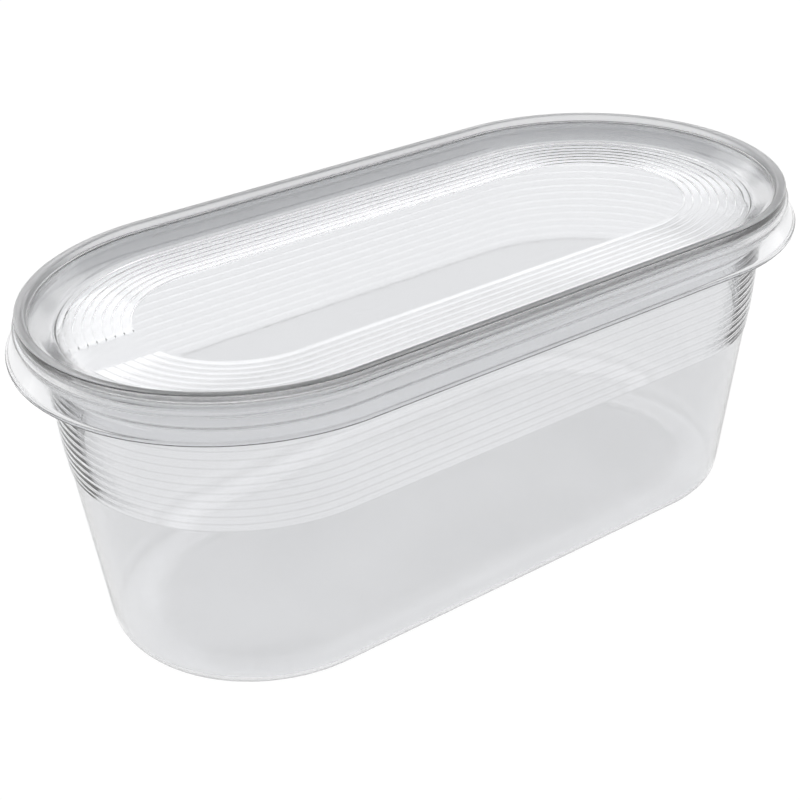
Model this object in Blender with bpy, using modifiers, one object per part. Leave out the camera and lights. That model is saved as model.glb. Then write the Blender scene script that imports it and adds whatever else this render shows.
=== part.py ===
"""A clear oblong freezer container: a tapered tub with a ribbed upper band, and its press-on lid.

Both pieces are one outline carried round an oblong, a straight-sided shape with half-round ends.
The long axis is X, the tub stands on z = 0, and every length is in metres.
"""

import math

import bmesh
import bpy

MM = 0.001

# Driving sizes of the whole
HEIGHT = 89.5 * MM
STRAIGHT_HALF = 56.0 * MM
ARC_STEPS = 24
SHARP_ANGLE = math.radians(28)

# Tub
WALL = 1.0 * MM
WALL_FOOT_RADIUS = 40.9 * MM
WALL_TOP_RADIUS = 45.6 * MM
FOOT_FILLET = 4.4 * MM
FOOT_RING_INNER_RADIUS = 32.4 * MM
FLOOR_RAISE = 0.9 * MM
RIB_COUNT = 12
RIB_PITCH = 2.2 * MM
BAND_FOOT_Z = HEIGHT - 39.4 * MM
BAND_FOOT_RADIUS = 46.0 * MM
BAND_TOP_RADIUS = 47.3 * MM
NECK_Z = HEIGHT - 11.8 * MM
NECK_RADIUS = 47.7 * MM
SHOULDER_Z = HEIGHT - 10.0 * MM
SHOULDER_RADIUS = 50.0 * MM
LIP_RADIUS = 52.0 * MM
LIP_FOOT_Z = HEIGHT - 4.8 * MM
LIP_TOP_Z = HEIGHT - 2.3 * MM
LIP_THICKNESS = 0.85 * MM

# Lid
SHEET = 0.8 * MM
PANEL_RADIUS = 26.15 * MM
PANEL_DEPTH = 6.1 * MM
RING_COUNT = 8
RING_PITCH = 2.3 * MM
RING_RISE = 0.3 * MM
RING_RISER = 0.15 * MM
FLANK_FOOT_RADIUS = 45.1 * MM
FLANK_FOOT_DEPTH = 5.2 * MM
FLANK_BREAK_RADIUS = 49.9 * MM
FLANK_BREAK_DEPTH = 2.4 * MM
CREST_RADIUS = 51.7 * MM
CREST_ROUND = 0.95 * MM
RIDGE_RADIUS = 54.0 * MM
RIDGE_DEPTH = 3.9 * MM
RIDGE_ROUND = 1.1 * MM
SKIRT_RADIUS = 55.9 * MM
HEM_RADIUS = 56.4 * MM
HEM_HEIGHT = 1.0 * MM
SKIRT_DEPTH = 10.5 * MM
PLAQUE_WIDTH = 13.0 * MM
GUTTER_WIDTH = 0.8 * MM

# Looks: a clear, faintly cool plastic
PLASTIC_COLOR = (0.86, 0.89, 0.93, 1.0)
PLASTIC_ROUGHNESS = 0.06
PLASTIC_IOR = 1.49


def clear_scene():
    for old in list(bpy.data.objects):
        bpy.data.objects.remove(old, do_unlink=True)


def new_collection(name):
    made = bpy.data.collections.new(name)
    bpy.context.scene.collection.children.link(made)
    return made


def plastic(name):
    """A clear plastic, as a Principled surface."""
    material = bpy.data.materials.new(name)
    material.use_nodes = True
    surface = material.node_tree.nodes["Principled BSDF"]
    surface.inputs["Base Color"].default_value = PLASTIC_COLOR
    surface.inputs["Roughness"].default_value = PLASTIC_ROUGHNESS
    surface.inputs["Metallic"].default_value = 0.0
    surface.inputs["IOR"].default_value = PLASTIC_IOR
    surface.inputs["Transmission Weight"].default_value = 0.9
    return material


def arc(center, radius, start_deg, end_deg, steps):
    """Points (radius, height) on a round stretch of an outline, both ends included."""
    points = []
    for i in range(steps + 1):
        angle = math.radians(start_deg + (end_deg - start_deg) * i / steps)
        points.append((center[0] + radius * math.cos(angle), center[1] + radius * math.sin(angle)))
    return points


def oblong(name, outline, collection, material):
    """A solid whose section is the outline, from the axis out and back, carried round the oblong.

    One end is the outline spun half a turn about its centre. Its two open edges are drawn out to
    the middle plane, and a Mirror modifier makes the other half.
    """
    bm = bmesh.new()
    verts = [bm.verts.new((STRAIGHT_HALF, -radius, height)) for radius, height in outline]
    edges = [bm.edges.new(pair) for pair in zip(verts, verts[1:])]
    bmesh.ops.spin(
        bm,
        geom=verts + edges,
        cent=(STRAIGHT_HALF, 0.0, 0.0),
        axis=(0.0, 0.0, 1.0),
        angle=math.pi,
        steps=ARC_STEPS,
    )
    bmesh.ops.remove_doubles(bm, verts=bm.verts, dist=0.001 * MM)
    open_edges = [edge for edge in bm.edges if edge.is_boundary]
    drawn = bmesh.ops.extrude_edge_only(bm, edges=open_edges)["geom"]
    for vert in drawn:
        if isinstance(vert, bmesh.types.BMVert):
            vert.co.x = 0.0
    bmesh.ops.remove_doubles(bm, verts=bm.verts, dist=0.001 * MM)
    bmesh.ops.recalc_face_normals(bm, faces=bm.faces)
    for face in bm.faces:
        face.smooth = True
    for edge in bm.edges:
        edge.smooth = edge.calc_face_angle(0.0) < SHARP_ANGLE
    mesh = bpy.data.meshes.new(name)
    bm.to_mesh(mesh)
    bm.free()
    mesh.materials.append(material)
    made = bpy.data.objects.new(name, mesh)
    collection.objects.link(made)
    mirror = made.modifiers.new("other_half", "MIRROR")
    mirror.use_axis = (True, False, False)
    mirror.use_mirror_merge = True
    mirror.merge_threshold = 0.00001
    return made


def band_radius(height):
    """The ribbed band's outer radius: near its top it is upright, and it leans in towards its foot."""
    down = 1.0 - (height - BAND_FOOT_Z) / (RIB_COUNT * RIB_PITCH)
    return BAND_TOP_RADIUS + (BAND_FOOT_RADIUS - BAND_TOP_RADIUS) * down**3


def tub_outline():
    """Up the outside from the middle of the underside, over the lip, and down the inside."""
    outside = [
        (0.0, FLOOR_RAISE),
        (FOOT_RING_INNER_RADIUS - FLOOR_RAISE, FLOOR_RAISE),
        (FOOT_RING_INNER_RADIUS, 0.0),
    ]
    outside += arc((WALL_FOOT_RADIUS - FOOT_FILLET, FOOT_FILLET), FOOT_FILLET, -90, 0, 5)
    outside += [(WALL_TOP_RADIUS, BAND_FOOT_Z)]
    for rib in range(RIB_COUNT):
        low = BAND_FOOT_Z + rib * RIB_PITCH
        radius = band_radius(low + RIB_PITCH / 2)
        outside += [(radius, low), (radius, low + RIB_PITCH)]
    lip_cut = LIP_THICKNESS / 3
    outside += [
        (NECK_RADIUS, NECK_Z),
        (SHOULDER_RADIUS, SHOULDER_Z),
        (LIP_RADIUS, LIP_FOOT_Z),
        (LIP_RADIUS, LIP_TOP_Z - lip_cut),
        (LIP_RADIUS - lip_cut, LIP_TOP_Z),
    ]
    inner_lip = LIP_RADIUS - LIP_THICKNESS
    inner_fillet = FOOT_FILLET - WALL
    band_middle = BAND_FOOT_Z + RIB_COUNT * RIB_PITCH / 2
    band_top = BAND_FOOT_Z + RIB_COUNT * RIB_PITCH
    inside = [
        (inner_lip + lip_cut, LIP_TOP_Z),
        (inner_lip, LIP_TOP_Z - lip_cut),
        (inner_lip, LIP_FOOT_Z),
        (SHOULDER_RADIUS - WALL, SHOULDER_Z + WALL / 2),
        (NECK_RADIUS - WALL, NECK_Z + WALL / 2),
        (BAND_TOP_RADIUS - WALL, band_top),
        (band_radius(band_middle) - WALL, band_middle),
        (WALL_TOP_RADIUS - WALL, BAND_FOOT_Z),
    ]
    inside += arc((WALL_FOOT_RADIUS - FOOT_FILLET, FOOT_FILLET), inner_fillet, 0, -90, 4)
    inside += [
        (FOOT_RING_INNER_RADIUS + WALL / 2, WALL),
        (FOOT_RING_INNER_RADIUS + WALL / 2 - FLOOR_RAISE, FLOOR_RAISE + WALL),
        (0.0, FLOOR_RAISE + WALL),
    ]
    return outside + inside


def ring_outline(panel_z):
    """The stepped rings round the panel: each line rises, and the band beyond it falls back."""
    points = []
    for ring in range(RING_COUNT):
        radius = PANEL_RADIUS + ring * RING_PITCH
        points += [(radius, panel_z), (radius + RING_RISER, panel_z + RING_RISE)]
    return points


def lid_outline():
    """Out over the top from the middle of the panel, down the skirt, and back underneath."""
    panel_z = HEIGHT - PANEL_DEPTH
    gutter_radius = FLANK_FOOT_RADIUS - GUTTER_WIDTH
    flank_foot_z = HEIGHT - FLANK_FOOT_DEPTH
    flank_break_z = HEIGHT - FLANK_BREAK_DEPTH
    ridge_z = HEIGHT - RIDGE_DEPTH
    ridge_middle = RIDGE_RADIUS - RIDGE_ROUND
    hem_foot_z = HEIGHT - SKIRT_DEPTH
    hem_top_z = hem_foot_z + HEM_HEIGHT
    top = [(0.0, panel_z)]
    top += ring_outline(panel_z)
    top += [
        (gutter_radius, panel_z + RING_RISE),
        (FLANK_FOOT_RADIUS, flank_foot_z),
        (FLANK_BREAK_RADIUS, flank_break_z),
    ]
    top += arc((CREST_RADIUS, HEIGHT - CREST_ROUND), CREST_ROUND, 150, 0, 5)
    top += arc((ridge_middle, ridge_z), RIDGE_ROUND, 60, -45, 4)
    top += [(SKIRT_RADIUS, hem_top_z), (HEM_RADIUS, hem_top_z), (HEM_RADIUS, hem_foot_z)]
    under = [
        (SKIRT_RADIUS - SHEET / 2, hem_foot_z),
        (SKIRT_RADIUS - SHEET, hem_top_z),
        (ridge_middle + 0.1 * SHEET, ridge_z - RIDGE_ROUND),
        (ridge_middle + 0.2 * SHEET, ridge_z),
        (CREST_RADIUS + CREST_ROUND - 0.1 * SHEET, HEIGHT - 3 * SHEET),
        (CREST_RADIUS + 0.2 * SHEET, HEIGHT - 1.2 * SHEET),
        (CREST_RADIUS - 0.2 * SHEET, HEIGHT - 1.5 * SHEET),
        (FLANK_BREAK_RADIUS + 0.6 * SHEET, flank_break_z - 0.8 * SHEET),
        (FLANK_FOOT_RADIUS + 0.4 * SHEET, flank_foot_z - SHEET),
        (gutter_radius, panel_z - SHEET),
        (0.0, panel_z - SHEET),
    ]
    return top + under


def plaque_cutter(collection):
    """A block that levels the rings to the panel along a strip at one end."""
    inner_x = -STRAIGHT_HALF - PANEL_RADIUS + RING_PITCH
    outer_x = -STRAIGHT_HALF - FLANK_FOOT_RADIUS + GUTTER_WIDTH
    height = 2 * RING_RISE
    bpy.ops.mesh.primitive_cube_add(size=1.0)
    block = bpy.context.active_object
    block.name = "plaque_cutter"
    block.scale = (inner_x - outer_x, PLAQUE_WIDTH, height)
    block.location = ((inner_x + outer_x) / 2, 0.0, HEIGHT - PANEL_DEPTH + height / 2)
    for owner in list(block.users_collection):
        owner.objects.unlink(block)
    collection.objects.link(block)
    block.hide_render = True
    block.display_type = "WIRE"
    return block


def build():
    clear_scene()
    pieces = new_collection("freezer_container")
    cutters = new_collection("cutters")
    cutters.hide_render = True
    oblong("container", tub_outline(), pieces, plastic("container_plastic"))
    lid = oblong("lid", lid_outline(), pieces, plastic("lid_plastic"))
    level = lid.modifiers.new("plaque", "BOOLEAN")
    level.operation = "DIFFERENCE"
    level.solver = "EXACT"
    level.object = plaque_cutter(cutters)


build()
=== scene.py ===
"""Looks of a clear freezer container: a tapered tub with a ribbed band, and its press-on lid.

Both pieces are one outline carried round an oblong with straight sides and half-round ends. The
outlines are in millimetres, as (distance out from the oblong's spine, height), and are corner
points whose corners are then rounded.
"""

import math

import bmesh
import bpy
import numpy as np
from mathutils import Matrix, Vector


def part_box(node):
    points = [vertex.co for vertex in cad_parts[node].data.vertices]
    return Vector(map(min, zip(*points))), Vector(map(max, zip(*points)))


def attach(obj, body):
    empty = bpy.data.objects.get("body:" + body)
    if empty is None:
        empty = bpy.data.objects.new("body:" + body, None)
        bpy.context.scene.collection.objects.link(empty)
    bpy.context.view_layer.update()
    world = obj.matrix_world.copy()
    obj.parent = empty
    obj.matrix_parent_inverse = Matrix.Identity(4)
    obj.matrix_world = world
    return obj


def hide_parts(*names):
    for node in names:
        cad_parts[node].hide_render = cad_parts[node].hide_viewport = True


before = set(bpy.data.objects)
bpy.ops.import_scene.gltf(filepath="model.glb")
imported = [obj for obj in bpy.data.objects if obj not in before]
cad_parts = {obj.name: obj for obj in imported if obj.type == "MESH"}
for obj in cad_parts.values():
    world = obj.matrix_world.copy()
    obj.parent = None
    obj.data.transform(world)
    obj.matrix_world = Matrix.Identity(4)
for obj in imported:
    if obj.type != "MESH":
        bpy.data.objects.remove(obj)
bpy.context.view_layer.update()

MM = 0.001
LID_LOW, LID_HIGH = (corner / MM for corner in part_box("lid"))

# The oblong: straight sides of twice this, half-round ends
SPINE_HALF = LID_HIGH.x - LID_HIGH.y

# How finely the surfaces are cut up
ARC_STEPS = 112
SIDE_STEPS = 48
CORNER_STEPS = 4
HEEL_STEPS = 6
BAND_STEPS = 5
RIDGE_STEPS = 11
LONGEST_CUT = 0.49
WELD = 0.002
FLAT_WEIGHT = 50

# Heights and radii that both pieces share
TOP = LID_HIGH.z
HEM_RADIUS = LID_HIGH.y
HEM_FOOT = LID_LOW.z

# Tub: its foot
WALL = 1.0
FOOT_RADIUS = 40.9
FOOT_FILLET = 4.4
FOOT_RING_INNER = 32.4
FLOOR_RAISE = 0.9
RAISE_WIDTH = 5.0

# Tub: its ribbed band, whose ribs' faces take this share of the pitch
RIB_COUNT = 12
RIB_PITCH = 2.2
RIB_FACE = 0.92
RIB_DEPTH_TOP = 0.23
RIB_DEPTH_FOOT = 0.22
BAND_FOOT = TOP - 39.4
BAND_HEIGHT = RIB_COUNT * RIB_PITCH
BAND_FOOT_RADIUS = 45.95
BAND_TOP_RADIUS = 47.3
PLAIN_TOP = (45.75, TOP - 39.55)

# Tub: its neck and lip
NECK = (47.7, TOP - 11.8)
SHOULDER = (50.0, TOP - 10.0)
LIP_RADIUS = 52.0
LIP_FOOT = TOP - 4.8
LIP_TOP = TOP - 2.9
LIP_THICKNESS = 1.4

# Tub: how far its corners are cut back
FOOT_RING_CUT = 2.0
HEEL_CUT = 0.5
INNER_HEEL_CUT = 0.4
BAND_EDGE_CUT = 0.08
RIB_CUT = 0.06
COLLAR_CUT = 0.4
INNER_BAND_CUT = 1.5

# Lid: its panel with the rings and the plaque
SHEET = 0.8
PANEL = TOP - 6.1
PANEL_RADIUS = 26.15
RING_COUNT = 8
RING_PITCH = 2.3
RING_RISE = 0.16
RISER_WIDTH = 0.32
PLAQUE_HALF = 6.5
PLAQUE_EDGE = 0.12
PLAQUE_COLUMNS = 7
PLAQUE_SINE_LIMIT = 0.26
LEAST_RADIUS = 1e-6

# Lid: its gutter, flank, bead, ridge and skirt
GUTTER_RADIUS = 44.3
GUTTER_CORNER = (GUTTER_RADIUS - 0.2, PANEL + RING_RISE)
FLANK_FOOT = (44.7, TOP - 5.1)
FLANK_BREAK = (48.6, TOP - 2.5)
BEAD_FOOT = (50.2, TOP - 1.75)
BEAD_INNER = (50.65, TOP)
BEAD_OUTER = (53.1, TOP)
BEAD_UNDER = (52.35, TOP - 2.35)
BEAD_WALL = (53.2, TOP - 2.75)
RIDGE = (54.0, TOP - 3.8)
RIDGE_ROUND = 1.05
RIDGE_ARC = (70, -50)
SKIRT_TOP = (53.6, TOP - 5.35)
SKIRT_RADIUS = 55.9
HEM_TOP = HEM_FOOT + 1.0
HEM = (
    (SKIRT_RADIUS - 0.1, HEM_TOP + 0.1),
    (HEM_RADIUS, HEM_TOP - 0.2),
    (HEM_RADIUS, HEM_FOOT),
    (SKIRT_RADIUS - SHEET / 2, HEM_FOOT),
    (SKIRT_RADIUS - SHEET, HEM_TOP),
)
UNDERSIDE = (
    (SKIRT_TOP[0] - SHEET, SKIRT_TOP[1] - 0.1),
    (RIDGE[0] - SHEET, RIDGE[1]),
    (BEAD_WALL[0] - SHEET, BEAD_WALL[1]),
    BEAD_UNDER,
    (BEAD_FOOT[0] + 0.6, BEAD_FOOT[1] - SHEET),
    (FLANK_BREAK[0] + 0.3, FLANK_BREAK[1] - SHEET),
    (FLANK_FOOT[0] + 0.3, FLANK_FOOT[1] - SHEET),
    (GUTTER_RADIUS, PANEL - SHEET),
)

# Lid: how far its corners are cut back
RING_CUT = 0.06
GUTTER_CUT = 0.4
FLANK_CUT = 0.3
BEAD_CUT = 0.7
BEAD_WALL_CUT = 0.2
RIDGE_CUT = 0.05
SKIRT_CUT = 0.4
HEM_CUT = 0.25
UNDERSIDE_CUT = 0.35

# The plastic
CLARITY = 0.985
REFRACTION = 1.49
COOL = (0.995, 1.0, 1.01)
CLOUD_SCALE = 24.0
CLOUD_DETAIL = 3.0
CLOUD_SHADE = (0.97, 0.97, 0.972, 1.0)
HAZE_SPREAD = (0.6, 1.4)
TUB_RIPPLE_SCALE = 180.0
LID_RIPPLE_SCALE = 220.0
RIPPLE_DETAIL = 2.0
RIPPLE_STRENGTH = 0.05
RIPPLE_DEPTH = 0.1

# Its zones: (distance, tint, haze), the tub's from the ground up, the lid's from the spine out. The
# tints are painted light and shade: lighter at the tub's foot and heel and over its ribbed band,
# darker over its plain wall, and on the lid lighter over the panel and darker over the flank, the
# bead and the hem. The haze is the plastic's roughness.
TUB_SHADE_AND_HAZE_ZONES = (
    (0.0, 1.0, 0.1),
    (0.5, 0.98, 0.1),
    (0.85, 0.835, 0.2),
    (2.2, 0.835, 0.2),
    (3.0, 0.862, 0.1),
    (4.4, 0.862, 0.05),
    (6.0, 0.835, 0.03),
    (BAND_FOOT - 0.15, 0.83, 0.03),
    (BAND_FOOT + 0.15, 0.935, 0.03),
    (BAND_FOOT + 16.0, 0.935, 0.03),
    (TOP - 11.0, 0.9, 0.03),
    (TOP, 0.9, 0.03),
)
LID_SHADE_AND_HAZE_ZONES = (
    (24.0, 0.97, 0.04),
    (27.0, 0.97, 0.07),
    (40.0, 0.97, 0.07),
    (43.5, 0.92, 0.07),
    (46.0, 0.7, 0.14),
    (49.8, 0.7, 0.14),
    (50.4, 0.72, 0.36),
    (52.6, 0.72, 0.36),
    (53.1, 0.84, 0.22),
    (54.3, 0.87, 0.03),
    (55.7, 0.9, 0.03),
    (56.0, 0.78, 0.1),
    (HEM_RADIUS, 0.78, 0.1),
)

# Its painted shade lines, the colour darkened at the step of each rib or ring: (start, pitch,
# number, shade), each as wide as this share of the pitch
SHADE_LINE_SHARE = 0.2
RIB_SHADE_LINES = (BAND_FOOT, RIB_PITCH, RIB_COUNT, 0.85)
RING_SHADE_LINES = (PANEL_RADIUS, RING_PITCH, RING_COUNT, 0.84)

# The ground: half its width in metres, and how far it lies under the tub in millimetres
GROUND_HALF = 6.0
GROUND_DROP = 0.2
GROUND_GREY = (0.08, 0.08, 0.08, 1.0)
GROUND_LIGHT = (1.0, 1.0, 1.0, 1.0)
GROUND_GLOW = 0.98

# The room's light by height of the direction: white low down, even, then dim overhead
ROOM_LIGHT = (
    (0.325, (1.6, 1.6, 1.6, 1.0)),
    (0.36, (0.8, 0.8, 0.808, 1.0)),
    (0.56, (0.8, 0.8, 0.808, 1.0)),
    (0.8, (0.22, 0.22, 0.23, 1.0)),
)

# The side where it is that bright. Away from it the room stays under a limit. A direction's
# share along the bright side is where the limit starts to lift, and where it is gone
BRIGHT_SIDE = (0.57, 0.82, 0.0)
LIMIT_LIFTS = 0.05
LIMIT_GONE = 0.4
ROOM_LIMIT = (0.7, 0.7, 0.705, 1.0)

# Where the soft lights look, in metres
LIT_POINT = (0.0, 0.0, 0.08)

# The photograph's camera
LENS_PX = 1496.6
FRAME_PX = 800
SENSOR_MM = 36.0
AZIMUTH = math.radians(-34.862)
ELEVATION = math.radians(29.690)
ROLL = math.radians(-2.045)
DISTANCE = 358.1
TARGET = (-33.2, -32.9, TOP - 24.75)
NEAREST = 10.0


def rounded(corners, cuts):
    """The outline with each corner P cut back by its cut along both sides, to A and B, and joined
    by the parabola (1-t)^2 A + 2t(1-t) P + t^2 B. A cut is at most half the shorter side."""
    corners = np.array(corners, float)
    before = corners[:-2] - corners[1:-1]
    after = corners[2:] - corners[1:-1]
    long_before = np.linalg.norm(before, axis=1)
    long_after = np.linalg.norm(after, axis=1)
    most = np.minimum(long_before, long_after) * LONGEST_CUT
    cuts = np.minimum(np.broadcast_to(cuts, long_before.shape), most)
    start = corners[1:-1] + before * (cuts / long_before)[:, None]
    end = corners[1:-1] + after * (cuts / long_after)[:, None]
    t = np.linspace(0, 1, CORNER_STEPS + 1)[None, :, None]
    middle = corners[1:-1, None]
    bends = (1 - t) ** 2 * start[:, None] + 2 * t * (1 - t) * middle + t**2 * end[:, None]
    return np.vstack([corners[:1], bends.reshape(-1, 2), corners[-1:]])


def outline(stretches):
    """The rounded outline of stretches of corner points, each stretch with its own cut."""
    corners = np.vstack([points for points, _ in stretches])
    cuts = np.concatenate([np.full(len(points), cut) for points, cut in stretches])
    return rounded(corners, cuts[1:-1])


def arc(center, radius, start, end, steps):
    """Points of a circle's stretch from one angle to another, in degrees."""
    angle = np.radians(np.linspace(start, end, steps + 1))
    return np.stack([center[0] + radius * np.cos(angle), center[1] + radius * np.sin(angle)], 1)


def way_round():
    """The places round the oblong: each one's spine x, and the angle that it looks out at."""
    half_turn = np.linspace(-90, 90, ARC_STEPS + 1)
    along = np.linspace(-1, 1, SIDE_STEPS + 1)[1:-1]
    far_side = np.full(len(along), 90.0)
    near_side = np.full(len(along), 270.0)
    angle = np.concatenate([half_turn, far_side, half_turn + 180, near_side])
    ends = np.ones(len(half_turn))
    spine = np.concatenate([ends, -along, -ends, along]) * SPINE_HALF
    return spine, angle


def plaque_warp(radius, angle):
    """Angles at the left end drawn together so that grid lines run along the plaque's edges.

    A place at 180 degrees plus or minus u of the quarter turn moves, in straight stretches, so
    that the fixed share of the places between the edges ends at asin(half width / radius)."""
    off = angle - 180.0
    size = np.abs(off)[None, :]
    some_radius = np.maximum(radius, LEAST_RADIUS)
    inner, outer = (
        np.degrees(np.arcsin(np.minimum(half / some_radius, PLAQUE_SINE_LIMIT)))[:, None]
        for half in (PLAQUE_HALF - PLAQUE_EDGE, PLAQUE_HALF + PLAQUE_EDGE)
    )
    step = 180.0 / ARC_STEPS
    first = step * PLAQUE_COLUMNS
    second = first + step
    low = size / first * inner
    middle = inner + (size - first) / (second - first) * (outer - inner)
    high = outer + (size - second) / (90.0 - second) * (90.0 - outer)
    warped = np.where(size <= first, low, np.where(size <= second, middle, high))
    at_end = (size < 90.0) & (angle > 90.0)[None, :] & (angle < 270.0)[None, :]
    return np.where(at_end, 180.0 + np.sign(off) * warped, angle[None, :])


def carried_round(name, profile, shade_lined, relief=None):
    """The closed surface of a profile (radius r, height z) carried round the oblong.

    Point (i, j) is (spine_j + r_i cos a_j, r_i sin a_j, z_i + relief_i k), where k is 0 inside
    the plaque's strip at the left end and 1 elsewhere. The profile starts and ends on the spine.
    A mesh attribute is 1 on the rows where painted shade lines may go: the given mask's entry for
    row i, times k if there is a relief."""
    spine, angle = way_round()
    radius = profile[:, 0]
    across = np.ones(len(angle))[None, :]
    height = profile[:, 1][:, None] * across
    shade_lined = shade_lined[:, None] * across
    if relief is None:
        turned = np.radians(angle)[None, :] * np.ones(len(radius))[:, None]
    else:
        turned = np.radians(plaque_warp(radius, angle))
    x = spine[None, :] + radius[:, None] * np.cos(turned)
    y = radius[:, None] * np.sin(turned)
    if relief is not None:
        keep = np.clip((np.abs(y) - PLAQUE_HALF + PLAQUE_EDGE) / (2 * PLAQUE_EDGE), 0, 1)
        keep = np.where(x < -SPINE_HALF, keep, 1.0)
        height = height + relief[:, None] * keep
        shade_lined = shade_lined * keep
    points = np.stack([x, y, height], 2).reshape(-1, 3) * MM
    rows, columns = len(radius), len(angle)
    i, j = np.meshgrid(np.arange(rows - 1), np.arange(columns), indexing="ij")
    right = (j + 1) % columns
    here = i * columns
    above = here + columns
    faces = np.stack([here + j, here + right, above + right, above + j], 2)
    mesh = bpy.data.meshes.new(name)
    mesh.from_pydata(points, [], faces.reshape(-1, 4).tolist())
    shade_line_mask = mesh.attributes.new("shade_lined", "FLOAT", "POINT")
    shade_line_mask.data.foreach_set("value", shade_lined.reshape(-1))
    welded = bmesh.new()
    welded.from_mesh(mesh)
    bmesh.ops.remove_doubles(welded, verts=welded.verts, dist=WELD * MM)
    bmesh.ops.recalc_face_normals(welded, faces=welded.faces)
    welded.to_mesh(mesh)
    welded.free()
    mesh.shade_smooth()
    piece = bpy.data.objects.new(name, mesh)
    bpy.context.scene.collection.objects.link(piece)
    weigh = piece.modifiers.new("flat_stays_flat", "WEIGHTED_NORMAL")
    weigh.weight = FLAT_WEIGHT
    weigh.keep_sharp = False
    return piece


def band_radius(height):
    """The ribbed band's radius: foot + (top - foot)(1 - down^3), down being 0 at its top and 1 at
    its foot."""
    down = 1.0 - (height - BAND_FOOT) / BAND_HEIGHT
    return BAND_TOP_RADIUS + (BAND_FOOT_RADIUS - BAND_TOP_RADIUS) * down**3


def ribs():
    """The band's corner points: each rib's face leans in as it rises, and steps out to the next
    one. The ribs are a little shallower towards the band's foot."""
    rib = np.arange(RIB_COUNT)
    low = BAND_FOOT + rib * RIB_PITCH
    high = low + RIB_PITCH * RIB_FACE
    half = (RIB_DEPTH_FOOT + (RIB_DEPTH_TOP - RIB_DEPTH_FOOT) * rib / (RIB_COUNT - 1)) / 2
    foot = np.stack([band_radius(low) + half, low], 1)
    top = np.stack([band_radius(high) - half, high], 1)
    return np.stack([foot, top], 1).reshape(-1, 2)


def tub():
    """Up the outside from the middle of the underside, over the lip and down the inside."""
    fillet = (FOOT_RADIUS - FOOT_FILLET, FOOT_FILLET)
    raise_radius = FOOT_RING_INNER - RAISE_WIDTH
    foot_ring = [(raise_radius, FLOOR_RAISE), (FOOT_RING_INNER, 0.0)]
    heel = arc(fillet, FOOT_FILLET, -90, 0, HEEL_STEPS)
    collar = [NECK, SHOULDER, (LIP_RADIUS, LIP_FOOT), (LIP_RADIUS, LIP_TOP)]
    inner_lip = LIP_RADIUS - LIP_THICKNESS
    inner_collar = [
        (inner_lip, LIP_TOP),
        (inner_lip, LIP_FOOT),
        (SHOULDER[0] - WALL, SHOULDER[1] + WALL / 2),
        (NECK[0] - WALL, NECK[1] + WALL / 2),
    ]
    band_heights = BAND_FOOT + BAND_HEIGHT * np.linspace(1, 0, BAND_STEPS + 1)
    inner_band = np.stack([band_radius(band_heights) - WALL, band_heights], 1)
    inner_heel = arc(fillet, FOOT_FILLET - WALL, 0, -90, HEEL_STEPS)
    inner_ring = [(FOOT_RING_INNER, WALL), (raise_radius, FLOOR_RAISE + WALL)]
    profile = outline(
        [
            ([(0.0, FLOOR_RAISE)], 0.0),
            (foot_ring, FOOT_RING_CUT),
            (heel, HEEL_CUT),
            ([PLAIN_TOP], BAND_EDGE_CUT),
            (ribs(), RIB_CUT),
            (collar, COLLAR_CUT),
            (inner_collar, COLLAR_CUT),
            (inner_band, INNER_BAND_CUT),
            (inner_heel, INNER_HEEL_CUT),
            (inner_ring, FOOT_RING_CUT),
            ([(0.0, FLOOR_RAISE + WALL)], 0.0),
        ]
    )
    outside = np.arange(len(profile)) <= np.argmax(profile[:, 1])
    return carried_round("tub_shell", profile, outside.astype(float))


def ring_corners():
    """Corner points of the rings: each rises steeply from the panel and falls back slowly."""
    start = PANEL_RADIUS + np.arange(RING_COUNT) * RING_PITCH
    low = np.stack([start, np.full(RING_COUNT, PANEL)], 1)
    high = np.stack([start + RISER_WIDTH, np.full(RING_COUNT, PANEL + RING_RISE)], 1)
    return np.stack([low, high], 1).reshape(-1, 2)


def lid():
    """Out over the top from the middle of the panel, down the skirt and back underneath."""
    ridge = arc((RIDGE[0] - RIDGE_ROUND, RIDGE[1]), RIDGE_ROUND, *RIDGE_ARC, RIDGE_STEPS)
    profile = outline(
        [
            ([(0.0, PANEL)], 0.0),
            (ring_corners(), RING_CUT),
            ([GUTTER_CORNER, FLANK_FOOT], GUTTER_CUT),
            ([FLANK_BREAK, BEAD_FOOT], FLANK_CUT),
            ([BEAD_INNER, BEAD_OUTER], BEAD_CUT),
            ([BEAD_WALL], BEAD_WALL_CUT),
            (ridge, RIDGE_CUT),
            ([SKIRT_TOP], SKIRT_CUT),
            (HEM, HEM_CUT),
            (UNDERSIDE, UNDERSIDE_CUT),
            ([(0.0, PANEL - SHEET)], 0.0),
        ]
    )
    ring_rows = 2 * RING_COUNT * (CORNER_STEPS + 1)
    on_rings = np.arange(len(profile)) <= ring_rows
    relief = np.where(on_rings, profile[:, 1] - PANEL, 0.0)
    profile[:, 1] -= relief
    return carried_round("lid_shell", profile, on_rings.astype(float), relief)


def stretch_along(nodes, links, place, measure):
    """How far a point is up from the ground, or out from the oblong's spine: the length of
    (max(|x| - spine half, 0), y)."""
    if measure == "up":
        split = nodes.new("ShaderNodeSeparateXYZ")
        links.new(place, split.inputs["Vector"])
        return split.outputs["Z"]
    steps = (
        ("ABSOLUTE", None),
        ("SUBTRACT", (SPINE_HALF * MM, 0.0, 0.0)),
        ("MAXIMUM", (0.0, 0.0, 0.0)),
        ("MULTIPLY", (1.0, 1.0, 0.0)),
        ("LENGTH", None),
    )
    for operation, other in steps:
        step = nodes.new("ShaderNodeVectorMath")
        step.operation = operation
        links.new(place, step.inputs[0])
        if other is not None:
            step.inputs[1].default_value = other
        place = step.outputs["Value" if operation == "LENGTH" else "Vector"]
    return place


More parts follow.
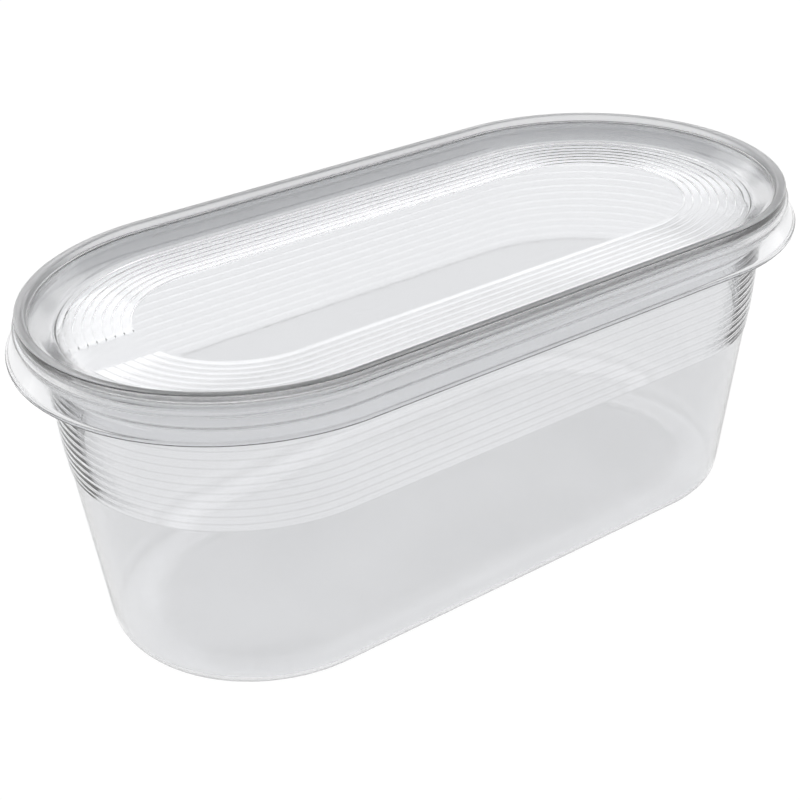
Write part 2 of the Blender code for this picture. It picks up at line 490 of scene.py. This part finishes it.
def worked_out(nodes, links, operation, *values):
    """The result of a Math node, whose inputs are other nodes' outputs or plain numbers."""
    step = nodes.new("ShaderNodeMath")
    step.operation = operation
    for socket, value in zip(step.inputs, values):
        if isinstance(value, bpy.types.NodeSocket):
            links.new(value, socket)
        else:
            socket.default_value = value
    return step.outputs["Value"]


def multiplied(nodes, links, colour, shade, amount):
    """A colour times a shade, as far as the amount says."""
    mix = nodes.new("ShaderNodeMix")
    mix.data_type = "RGBA"
    mix.blend_type = "MULTIPLY"
    mix.inputs["B"].default_value = shade
    links.new(amount, mix.inputs["Factor"])
    links.new(colour, mix.inputs["A"])
    return mix.outputs["Result"]


def noise(nodes, links, place, scale, detail):
    """Noise of a scale and a detail, at a place on the piece."""
    texture = nodes.new("ShaderNodeTexNoise")
    texture.inputs["Scale"].default_value = scale
    texture.inputs["Detail"].default_value = detail
    links.new(place, texture.inputs["Vector"])
    return texture.outputs["Fac"]


def colour_stops(ramp, stops):
    """Give a colour ramp its stops, as (position, colour)."""
    elements = ramp.elements
    while len(elements) < len(stops):
        elements.new(0.5)
    for element, (position, colour) in zip(elements, stops):
        element.position = position
        element.color = colour


def painted_step_shade(nodes, links, distance, colour, lines):
    """Painted shade: the colour darkened in a line at the step of each rib or ring. Its lines are
    (start, pitch, number, shade): they lie where the fraction of (distance - start) / pitch is
    under a small share, from the start on for that number of pitches, and only where the piece's
    mesh attribute for these lines is 1."""
    start, pitch, number, shade = lines
    from_start = worked_out(nodes, links, "SUBTRACT", distance, start * MM)
    count = worked_out(nodes, links, "DIVIDE", from_start, pitch * MM)
    fraction = worked_out(nodes, links, "FRACT", count)
    at_step = worked_out(nodes, links, "LESS_THAN", fraction, SHADE_LINE_SHARE)
    in_reach = worked_out(nodes, links, "COMPARE", count, number / 2, number / 2)
    on_line = worked_out(nodes, links, "MULTIPLY", at_step, in_reach)
    shade_line_mask = nodes.new("ShaderNodeAttribute")
    shade_line_mask.attribute_name = "shade_lined"
    drawn = worked_out(nodes, links, "MULTIPLY", on_line, shade_line_mask.outputs["Fac"])
    return multiplied(nodes, links, colour, (shade, shade, shade, 1.0), drawn)


def clear_plastic(name, measure, zones, lines, ripple_scale):
    """Clear moulded plastic, hazed by its zones and clouded a little, with painted light and shade
    in its colour by zone, painted shade lines at its steps, and a faint moulded ripple on its skin."""
    material = bpy.data.materials.new(name)
    material.use_nodes = True
    nodes, links = material.node_tree.nodes, material.node_tree.links
    surface = nodes["Principled BSDF"]
    surface.inputs["IOR"].default_value = REFRACTION
    surface.inputs["Transmission Weight"].default_value = CLARITY
    place = nodes.new("ShaderNodeTexCoord").outputs["Object"]
    cloud = noise(nodes, links, place, CLOUD_SCALE, CLOUD_DETAIL)

    first, last = zones[0][0], zones[-1][0]
    distance = stretch_along(nodes, links, place, measure)
    reach = nodes.new("ShaderNodeMapRange")
    reach.inputs["From Min"].default_value = first * MM
    reach.inputs["From Max"].default_value = last * MM
    links.new(distance, reach.inputs["Value"])
    # The ramp's colour is painted light and shade by zone; its alpha is the haze
    painted_shade_and_haze = nodes.new("ShaderNodeValToRGB")
    stops = [
        ((zone - first) / (last - first), (painted_tint * COOL[0], painted_tint * COOL[1], painted_tint * COOL[2], haze))
        for zone, painted_tint, haze in zones
    ]
    colour_stops(painted_shade_and_haze.color_ramp, stops)
    links.new(reach.outputs["Result"], painted_shade_and_haze.inputs["Fac"])

    clouded = multiplied(nodes, links, painted_shade_and_haze.outputs["Color"], CLOUD_SHADE, cloud)
    # Painted shade lines darken the colour at the steps of the ribs and rings
    shade_lined = painted_step_shade(nodes, links, distance, clouded, lines)
    links.new(shade_lined, surface.inputs["Base Color"])

    spread = nodes.new("ShaderNodeMapRange")
    spread.inputs["To Min"].default_value, spread.inputs["To Max"].default_value = HAZE_SPREAD
    links.new(cloud, spread.inputs["Value"])
    haze = worked_out(nodes, links, "MULTIPLY", spread.outputs["Result"], painted_shade_and_haze.outputs["Alpha"])
    links.new(haze, surface.inputs["Roughness"])

    bump = nodes.new("ShaderNodeBump")
    bump.inputs["Strength"].default_value = RIPPLE_STRENGTH
    bump.inputs["Distance"].default_value = RIPPLE_DEPTH * MM
    links.new(noise(nodes, links, place, ripple_scale, RIPPLE_DETAIL), bump.inputs["Height"])
    links.new(bump.outputs["Normal"], surface.inputs["Normal"])
    return material


def dress(piece, node, material):
    """Give a piece its material, and let it stand for a node of the frame."""
    piece.data.materials.append(material)
    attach(piece, "root")
    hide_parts(node)


def floor():
    """A plain white ground, lit from within a little, like a light table."""
    half = GROUND_HALF
    corners = [(-half, -half, 0), (half, -half, 0), (half, half, 0), (-half, half, 0)]
    mesh = bpy.data.meshes.new("ground")
    mesh.from_pydata(corners, [], [(0, 1, 2, 3)])
    ground = bpy.data.objects.new("ground", mesh)
    ground.location.z = -GROUND_DROP * MM
    bpy.context.scene.collection.objects.link(ground)
    white = bpy.data.materials.new("white_ground")
    white.use_nodes = True
    surface = white.node_tree.nodes["Principled BSDF"]
    surface.inputs["Base Color"].default_value = GROUND_GREY
    surface.inputs["Roughness"].default_value = 1.0
    surface.inputs["Specular IOR Level"].default_value = 0.0
    surface.inputs["Emission Color"].default_value = GROUND_LIGHT
    surface.inputs["Emission Strength"].default_value = GROUND_GLOW
    mesh.materials.append(white)


def surroundings():
    """The room's light, by the height of the direction that a ray goes off in, and kept under a
    limit away from the bright side."""
    world = bpy.data.worlds.new("studio")
    bpy.context.scene.world = world
    world.use_nodes = True
    nodes, links = world.node_tree.nodes, world.node_tree.links
    place = nodes.new("ShaderNodeTexCoord")
    split = nodes.new("ShaderNodeSeparateXYZ")
    links.new(place.outputs["Generated"], split.inputs["Vector"])
    fade = nodes.new("ShaderNodeValToRGB")
    colour_stops(fade.color_ramp, ROOM_LIGHT)
    links.new(split.outputs["Z"], fade.inputs["Fac"])
    facing = nodes.new("ShaderNodeVectorMath")
    facing.operation = "DOT_PRODUCT"
    facing.inputs[1].default_value = BRIGHT_SIDE
    links.new(place.outputs["Generated"], facing.inputs[0])
    away = nodes.new("ShaderNodeMapRange")
    away.inputs["From Min"].default_value = LIMIT_LIFTS
    away.inputs["From Max"].default_value = LIMIT_GONE
    away.inputs["To Min"].default_value = 1.0
    away.inputs["To Max"].default_value = 0.0
    links.new(facing.outputs["Value"], away.inputs["Value"])
    limited = nodes.new("ShaderNodeMix")
    limited.data_type = "RGBA"
    limited.blend_type = "DARKEN"
    limited.inputs["B"].default_value = ROOM_LIMIT
    links.new(away.outputs["Result"], limited.inputs["Factor"])
    links.new(fade.outputs["Color"], limited.inputs["A"])
    links.new(limited.outputs["Result"], nodes["Background"].inputs["Color"])
    nodes["Background"].inputs["Strength"].default_value = 1.0


def softbox(name, place, width, depth, power):
    """A flat soft light that looks from its place at the lit point."""
    light = bpy.data.lights.new(name, "AREA")
    light.shape = "RECTANGLE"
    light.size = width
    light.size_y = depth
    light.energy = power
    holder = bpy.data.objects.new(name, light)
    bpy.context.scene.collection.objects.link(holder)
    look = Vector(LIT_POINT) - Vector(place)
    holder.location = place
    holder.rotation_euler = look.to_track_quat("-Z", "Y").to_euler()
    holder.visible_camera = False


def camera():
    """The photograph's own viewpoint, with its slight roll."""
    back = Vector(
        (
            math.sin(AZIMUTH) * math.cos(ELEVATION),
            -math.cos(AZIMUTH) * math.cos(ELEVATION),
            math.sin(ELEVATION),
        )
    )
    level_right = Vector((math.cos(AZIMUTH), math.sin(AZIMUTH), 0.0))
    level_up = back.cross(level_right)
    right = math.cos(ROLL) * level_right + math.sin(ROLL) * level_up
    up = math.cos(ROLL) * level_up - math.sin(ROLL) * level_right
    lens = bpy.data.cameras.new("camera")
    lens.sensor_width = SENSOR_MM
    lens.lens = LENS_PX / FRAME_PX * SENSOR_MM
    lens.clip_start = NEAREST * MM
    eye = bpy.data.objects.new("camera", lens)
    bpy.context.scene.collection.objects.link(eye)
    turned = Matrix((right, up, back)).transposed().to_4x4()
    turned.translation = (Vector(TARGET) + DISTANCE * back) * MM
    eye.matrix_world = turned
    bpy.context.scene.camera = eye


bpy.context.scene.view_settings.view_transform = "Standard"
tub_plastic = clear_plastic("tub_plastic", "up", TUB_SHADE_AND_HAZE_ZONES, RIB_SHADE_LINES, TUB_RIPPLE_SCALE)
lid_plastic = clear_plastic("lid_plastic", "out", LID_SHADE_AND_HAZE_ZONES, RING_SHADE_LINES, LID_RIPPLE_SCALE)
dress(tub(), "container", tub_plastic)
dress(lid(), "lid", lid_plastic)
floor()
surroundings()
softbox("rear_softbox", place=(0.8, 1.3, 1.4), width=2.2, depth=0.72, power=5.5)
softbox("side_softbox", place=(0.09, 1.79, 0.98), width=1.0, depth=0.6, power=2.4)
camera()
